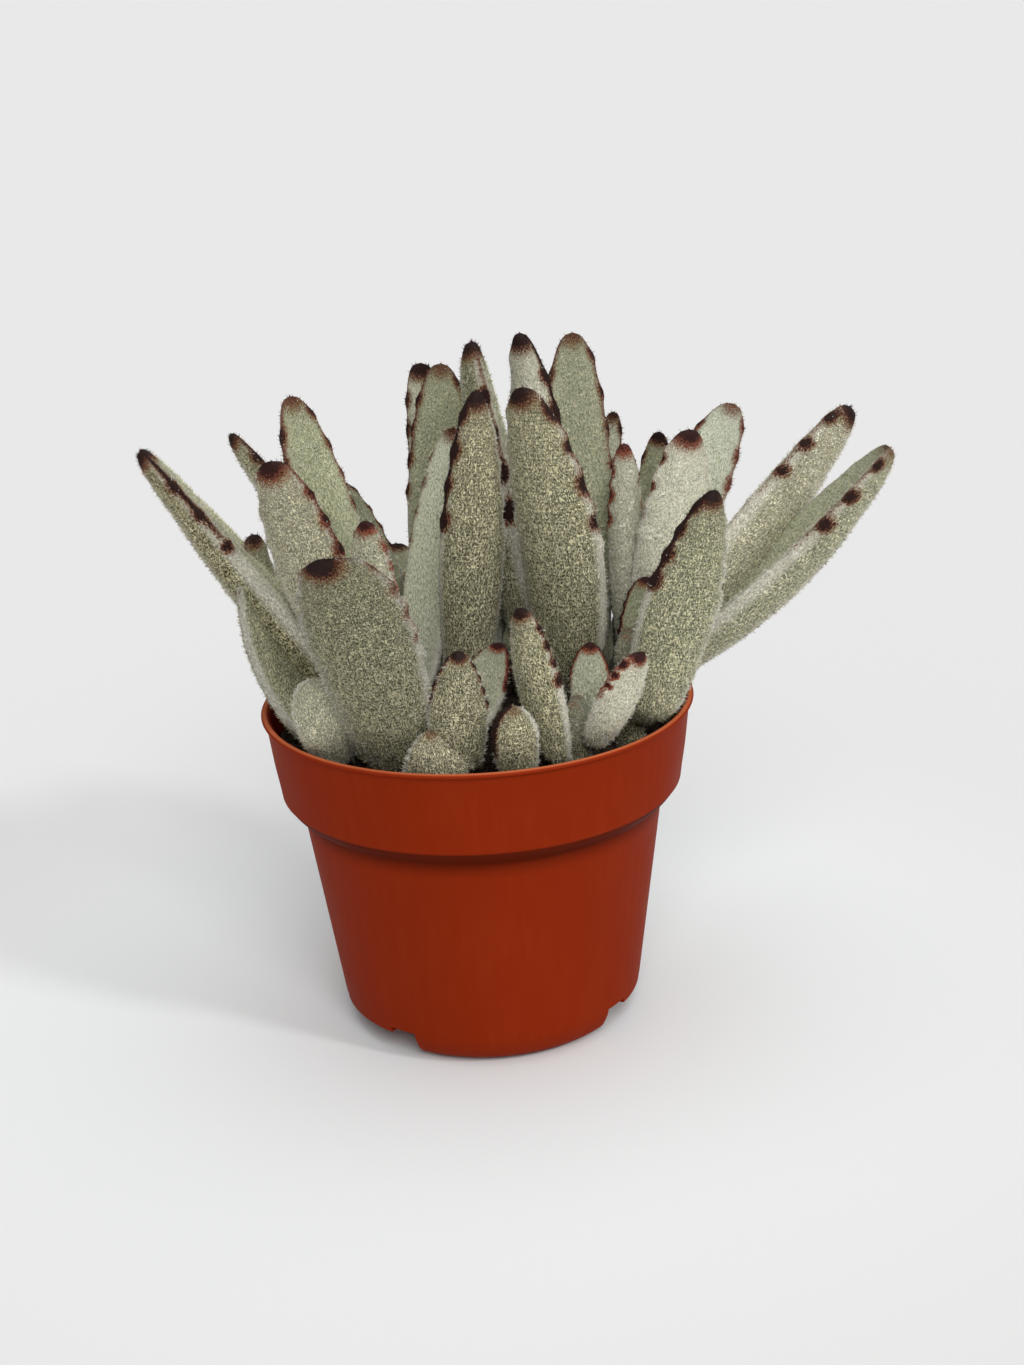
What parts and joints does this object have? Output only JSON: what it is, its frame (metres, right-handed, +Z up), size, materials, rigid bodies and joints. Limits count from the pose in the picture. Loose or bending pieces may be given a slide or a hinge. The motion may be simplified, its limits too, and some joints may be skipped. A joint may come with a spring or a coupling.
{
  "type": "potted_succulent",
  "caption": "Panda plant, Kalanchoe tomentosa, with upright felted grey-green leaves spotted brown along their edges, in a terracotta-coloured round plastic nursery pot.",
  "frame": {"origin": "middle of the pot's underside, on the plane that it stands on", "axes": "+Z up along the pot's axis; -Y toward the viewer's side; +X to the viewer's right"},
  "size_m": [0.1743, 0.128, 0.1687],
  "materials": {
    "pot": "matte moulded plastic, terracotta brown",
    "soil": null,
    "stem": null,
    "leaf": "dense short felt over a fleshy grey-green leaf, dark brown spots at the teeth and the tip"
  },
  "bodies": {
    "root": {"pot": "pot", "soil": "soil", "centre_right_stem": "stem", "centre_stem": "stem", "far_left_shoot": "stem", "front_centre_shoot": "stem", "front_left_stem": "stem", "front_right_stem": "stem", "front_shoot": "stem", "left_stem": "stem", "rear_left_stem": "stem", "rear_right_stem": "stem", "right_shoot": "stem", "right_stem": "stem", "centre_right_stem_leaf_1": "leaf", "centre_right_stem_leaf_2": "leaf", "centre_right_stem_leaf_3": "leaf", "centre_right_stem_leaf_4": "leaf", "centre_stem_leaf_1": "leaf", "centre_stem_leaf_2": "leaf", "far_left_shoot_leaf_1": "leaf", "far_left_shoot_leaf_2": "leaf", "front_centre_shoot_leaf_1": "leaf", "front_left_stem_leaf_1": "leaf", "front_left_stem_leaf_2": "leaf", "front_left_stem_leaf_3": "leaf", "front_right_stem_leaf_1": "leaf", "front_right_stem_leaf_2": "leaf", "front_shoot_leaf_1": "leaf", "front_shoot_leaf_2": "leaf", "front_shoot_leaf_3": "leaf", "left_stem_leaf_1": "leaf", "left_stem_leaf_2": "leaf", "left_stem_leaf_3": "leaf", "left_stem_leaf_4": "leaf", "left_stem_leaf_5": "leaf", "rear_left_stem_leaf_1": "leaf", "rear_left_stem_leaf_2": "leaf", "rear_left_stem_leaf_3": "leaf", "rear_left_stem_leaf_4": "leaf", "rear_left_stem_leaf_5": "leaf", "rear_left_stem_leaf_6": "leaf", "rear_left_stem_leaf_7": "leaf", "rear_left_stem_leaf_8": "leaf", "rear_right_stem_leaf_1": "leaf", "rear_right_stem_leaf_2": "leaf", "rear_right_stem_leaf_3": "leaf", "rear_right_stem_leaf_4": "leaf", "rear_right_stem_leaf_5": "leaf", "rear_right_stem_leaf_6": "leaf", "right_shoot_leaf_1": "leaf", "right_shoot_leaf_2": "leaf", "right_shoot_leaf_3": "leaf", "right_stem_leaf_1": "leaf", "right_stem_leaf_2": "leaf", "right_stem_leaf_3": "leaf", "right_stem_leaf_4": "leaf", "right_stem_leaf_5": "leaf", "right_stem_leaf_6": "leaf", "right_stem_leaf_7": "leaf"}
  },
  "joints": []
}
